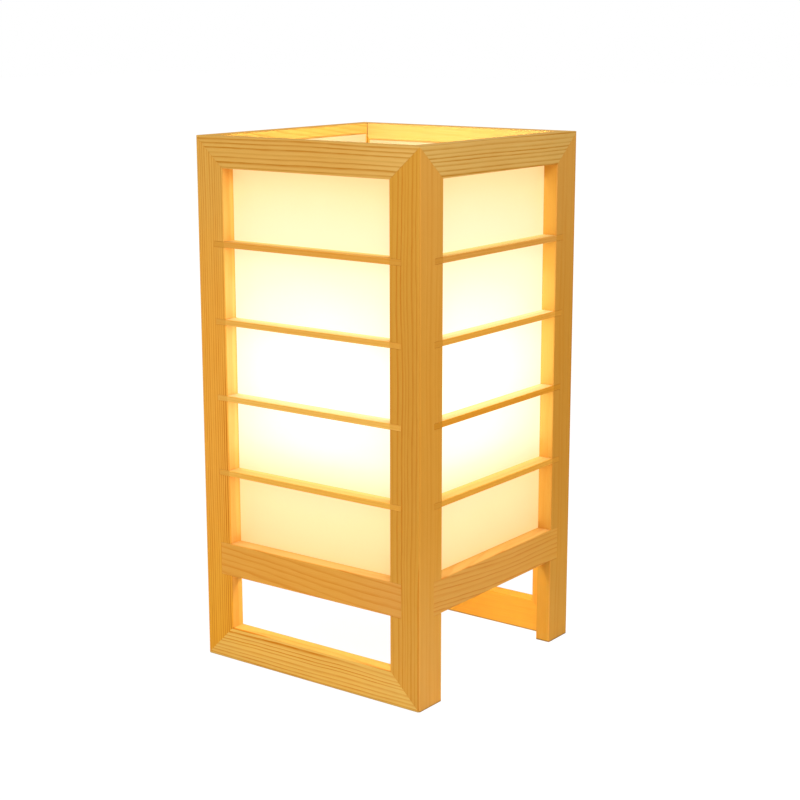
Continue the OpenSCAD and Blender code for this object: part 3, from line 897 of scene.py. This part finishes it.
# screw threads, in mm; a wave is a thread's section, 0 at the root and 1 at the crest
rolledWave = [(1 - math.cos(2 * math.pi * i / 8)) / 2 for i in range(9)]
cutWave = (0, 0.1, 1, 1, 0)
cap = {
    "pitch": 3.6,
    "crest": 13.1,
    "root": 12.2,
    "wave": rolledWave,
    "steps": 64,            # for each turn
    "smooth": 50,           # degrees
    "sheet": 0.3,           # thickness
    "side": -1,             # the sheet lies inside the faces
    "headGap": 5.0,         # from the upper end to the thread
    "footGap": 3.2,         # and from the lower end
    # rings between the thread and each end: radius, and distance from that end
    "head": [(12.75, 4.4), (12.95, 3.6), (13.1, 2.2), (13.15, 1.2), (13.4, 0.25), (13.38, 0.0)],
    "foot": [(12.5, 2.7), (12.2, 2.1), (11.2, 1.3), (9.9, 0.6), (8.6, 0.0)],
}
sleeve = {
    **cap,
    "crest": 13.3,
    "root": 13.75,
    "sheet": 0.22,
    "side": 1,              # the sheet lies outside the faces
    "headGap": 1.5,
    "footGap": 1.5,
    "head": [(13.65, 0.9), (13.7, 0.4), (13.8, 0.0)],
    "foot": [(13.65, 0.9), (13.65, 0.0)],
}
tube = {
    "pitch": 1.0,
    "depth": 0.5,
    "wave": cutWave,
    "steps": 32,
    "smooth": 25,
    "bore": 3.6,            # radius
    "chamfer": 0.25,
    "headGap": 0.5,
    "footGap": 0.5,
}


def helixShell(crest, root, look, low, high):
    # open threaded tube from low to high as one helical sweep of its wave
    pitch, wave, steps = look["pitch"], look["wave"], look["steps"]
    bm = bmesh.new()
    profile = []
    for i, swing in enumerate(wave):
        rise = low - pitch + pitch * i / (len(wave) - 1)
        profile.append(bm.verts.new(((root + (crest - root) * swing) * mm, 0, rise * mm)))
    line = [bm.edges.new(pair) for pair in zip(profile, profile[1:])]
    turns = math.ceil((high - low) / pitch) + 2
    bmesh.ops.spin(bm, geom=profile + line, cent=(0, 0, 0), axis=(0, 0, 1),
                   dvec=(0, 0, pitch / steps * mm), angle=math.radians(360 * turns),
                   steps=steps * turns, use_merge=False, use_duplicate=False)
    bmesh.ops.remove_doubles(bm, verts=bm.verts, dist=0.0005 * mm)
    for height, above in ((low, False), (high, True)):
        bmesh.ops.bisect_plane(bm, geom=bm.verts[:] + bm.edges[:] + bm.faces[:], dist=1e-7,
                               plane_co=(0, 0, height * mm), plane_no=(0, 0, 1),
                               clear_outer=above, clear_inner=not above)
    bmesh.ops.recalc_face_normals(bm, faces=bm.faces)
    return bm


def rimEdges(bm, height):
    # the open rim of a shell at this height
    return [e for e in bm.edges if e.is_boundary
            and all(abs(v.co.z - height * mm) < 0.01 * mm for v in e.verts)]


def drawRim(bm, height, rings):
    # extrude the rim at height through rings of (radius, height)
    edges = rimEdges(bm, height)
    for radius, rise in rings:
        made = bmesh.ops.extrude_edge_only(bm, edges=edges)["geom"]
        edges = [e for e in made if isinstance(e, bmesh.types.BMEdge) and e.is_boundary]
        for vert in {v for e in edges for v in e.verts}:
            angle = math.atan2(vert.co.y, vert.co.x)
            vert.co = (radius * mm * math.cos(angle), radius * mm * math.sin(angle), rise * mm)


def threadedShell(name, crest, root, look):
    # the thread, with both its ends drawn on to the ends of the node; also gives those, in mm
    low, high = (corner[2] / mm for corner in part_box(name))
    bm = helixShell(crest, root, look, low + look["footGap"], high - look["headGap"])
    drawRim(bm, high - look["headGap"], [(radius, high - short) for radius, short in look["head"]])
    drawRim(bm, low + look["footGap"], [(radius, low + short) for radius, short in look["foot"]])
    return bm, low, high


def addRolled(name, label, look, material, body):
    bm = threadedShell(name, look["crest"], look["root"], look)[0]
    bmesh.ops.recalc_face_normals(bm, faces=bm.faces)
    shadeSmooth(bm, look["smooth"])
    piece = finishedPiece(name, label, bm, material, body)
    wall = piece.modifiers.new("sheet", "SOLIDIFY")
    wall.thickness = look["sheet"] * mm
    wall.offset = look["side"]
    wall.use_even_offset = True


def addTube():
    crest, bore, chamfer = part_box("threaded_tube")[1][0] / mm, tube["bore"], tube["chamfer"]
    root = crest - tube["depth"]
    end = [(root, 0.0), (bore + chamfer, 0.0), (bore, chamfer)]
    bm, low, high = threadedShell("threaded_tube", crest, root, {**tube, "head": end, "foot": end})
    bmesh.ops.bridge_loops(bm, edges=rimEdges(bm, high - chamfer) + rimEdges(bm, low + chamfer))
    bmesh.ops.recalc_face_normals(bm, faces=bm.faces)
    shadeSmooth(bm, tube["smooth"])
    finishedPiece("threaded_tube", "threaded_tube_cut", bm, zinc, "frame")


addRolled("bulb_cap", "bulb_cap_threaded", cap, nickel, "bulb")
addRolled("thread_sleeve", "thread_sleeve_rolled", sleeve, brass, "frame")
addTube()

plainFittings = {           # mm that the edges are eased, finish and body
    "washer": (0.2, zinc, "frame"),
    "hex_nut": (0.15, zinc, "frame"),
    "clamp_screw": (0.2, zinc, "frame"),
    "cord_grip": (0.25, gripPlastic, "frame"),
    "holder_base": (0.25, blackPlastic, "frame"),
    "holder_skirt": (0.12, blackPlastic, "frame"),
    "holder_core": (0.3, glazeFinish(), "frame"),
    "centre_contact": (0.08, brass, "frame"),
    "terminals": (0.2, brass, "frame"),
    "bulb_glass": (0.0, litGlassFinish(), "bulb"),
    "bulb_stem": (0.0, clearGlassFinish(), "bulb"),
    "bulb_filaments": (0.0, filamentFinish(), "bulb"),
    "bulb_insulator": (0.2, insulatorGlass, "bulb"),
    "bulb_contact": (0.2, solder, "bulb"),
}
roundTheLight = ("bulb_glass", "bulb_stem", "bulb_filaments")  # the bulb's light is inside these
for name, (ease, material, body) in plainFittings.items():
    piece = easedPiece(name, ease, material, body)
    piece.visible_shadow = name not in roundTheLight
print("fittings made")
